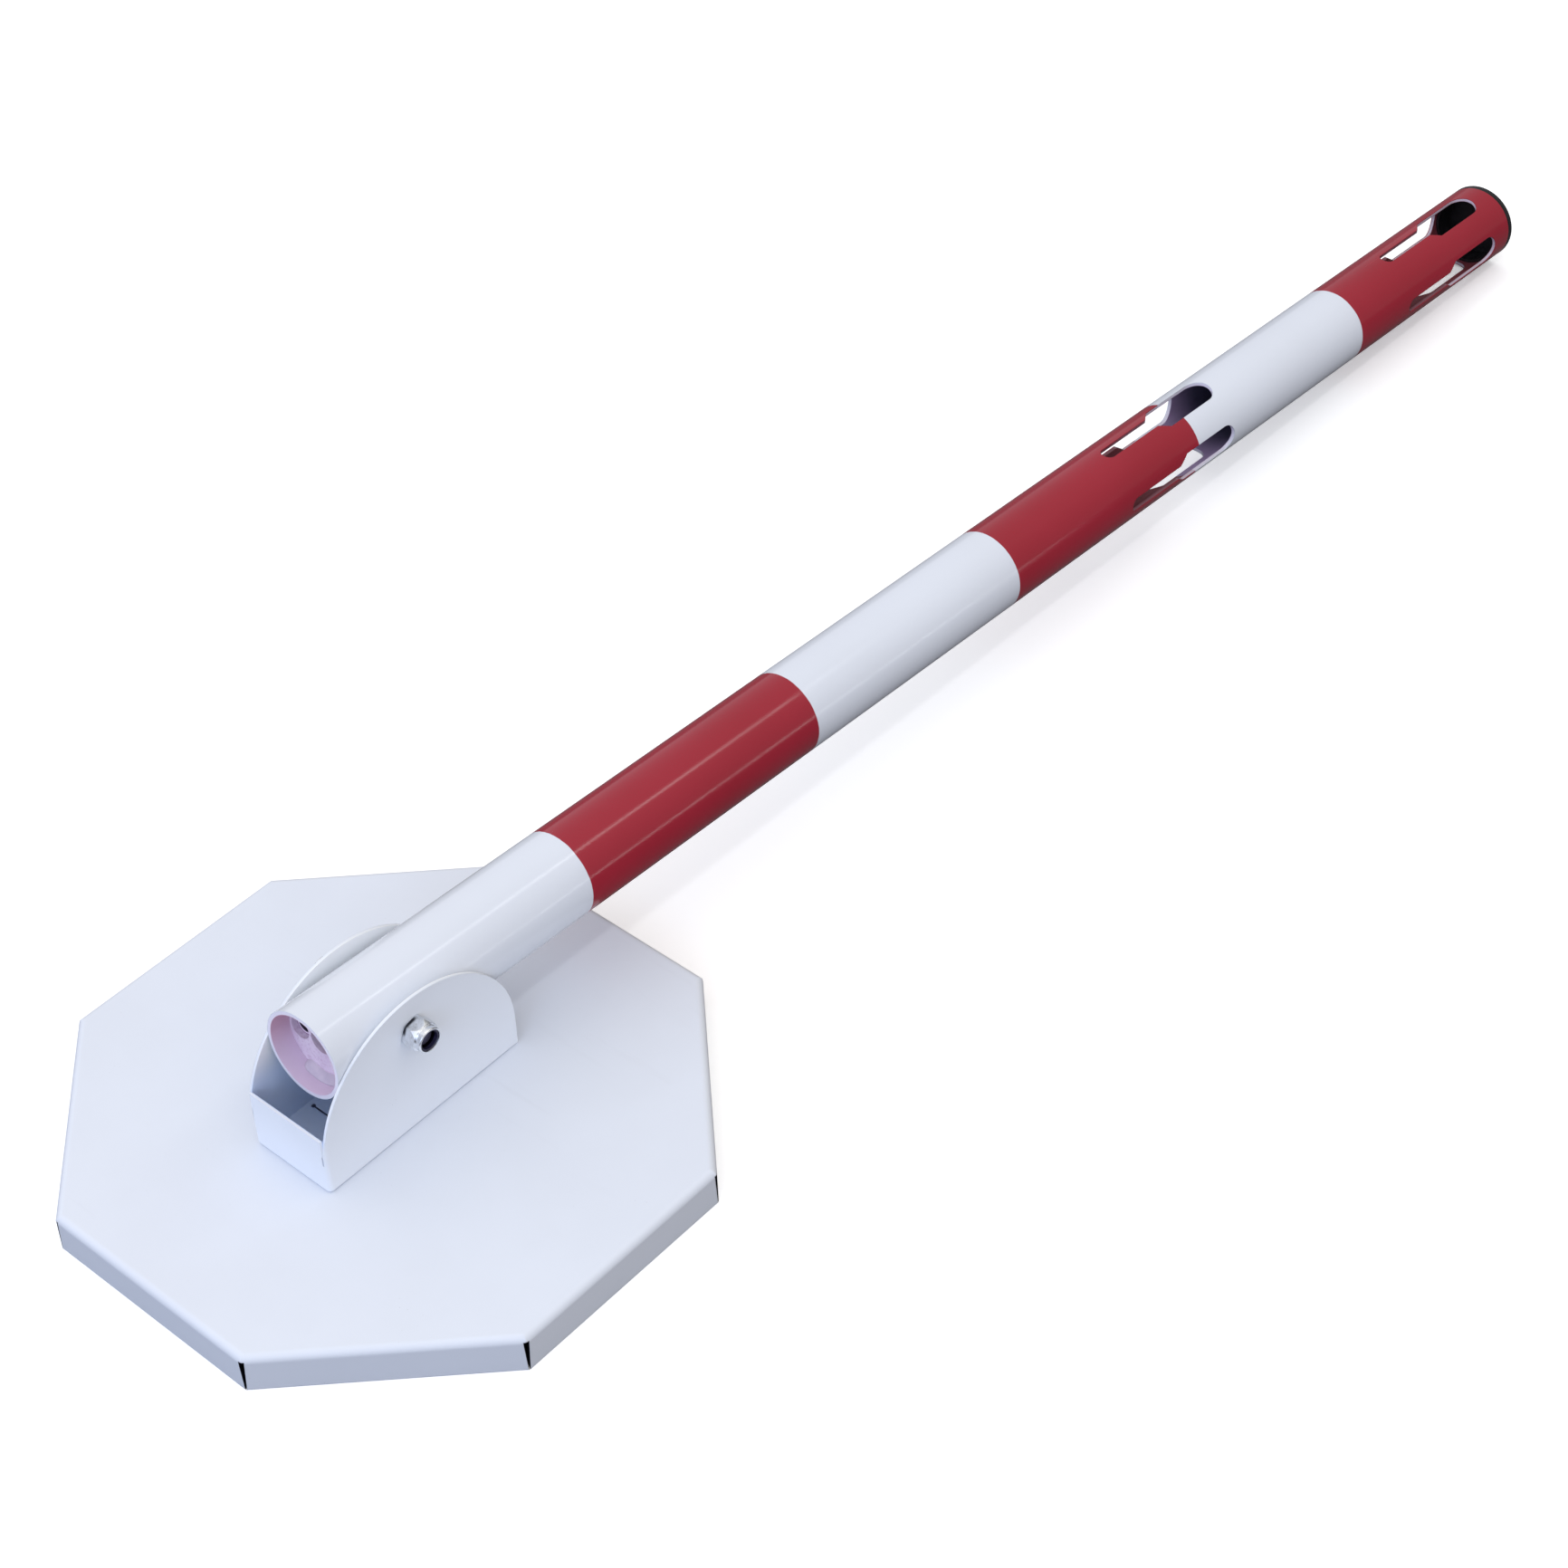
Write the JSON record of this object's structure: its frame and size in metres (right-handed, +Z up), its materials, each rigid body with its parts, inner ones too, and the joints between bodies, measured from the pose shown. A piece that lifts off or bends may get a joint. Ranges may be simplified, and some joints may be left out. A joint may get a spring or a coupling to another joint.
{
  "type": "folding barrier chain post",
  "caption": "Folding barrier-chain post: banded steel tube with keyhole slots, hinged in an arched sheet bracket on a free-standing octagonal folded-sheet base.",
  "frame": {"origin": "centre of the octagonal base on the floor, in the plane of the flange edges it stands on", "axes": "+X along the folded post towards its top, +Y along the pivot stud, +Z up"},
  "size_m": [1.4201, 0.39, 0.1396],
  "materials": {
    "base_paint": "white powder coat, satin",
    "bracket_paint": "white powder coat, satin",
    "post_paint": "white powder coat with red bands, gloss",
    "inside_paint": "thin overspray, satin",
    "zinc": "bright zinc plating",
    "nylon": "smooth",
    "cap_plastic": "moulded, matt"
  },
  "bodies": {
    "base": {"base_pan": "base_paint", "pivot_bracket": "bracket_paint", "stop_plate": "bracket_paint", "pivot_stud": "zinc", "pivot_nuts": "zinc", "nut_inserts": "nylon", "pivot_sleeve": "zinc", "bracket_bolts": "zinc", "bracket_washers": "zinc", "bracket_nuts": "zinc"},
    "post": {"post_tube": "post_paint", "bottom_disc": "inside_paint", "disc_nut": "inside_paint", "disc_weld": "inside_paint", "top_cap": "cap_plastic"}
  },
  "joints": [
    {"name": "post_fold", "type": "hinge", "parent": "base", "child": "post", "pos_m": [0, 0, 0.10597], "axis": [0, -1, 0], "range_deg": [0, 93.53]}
  ]
}
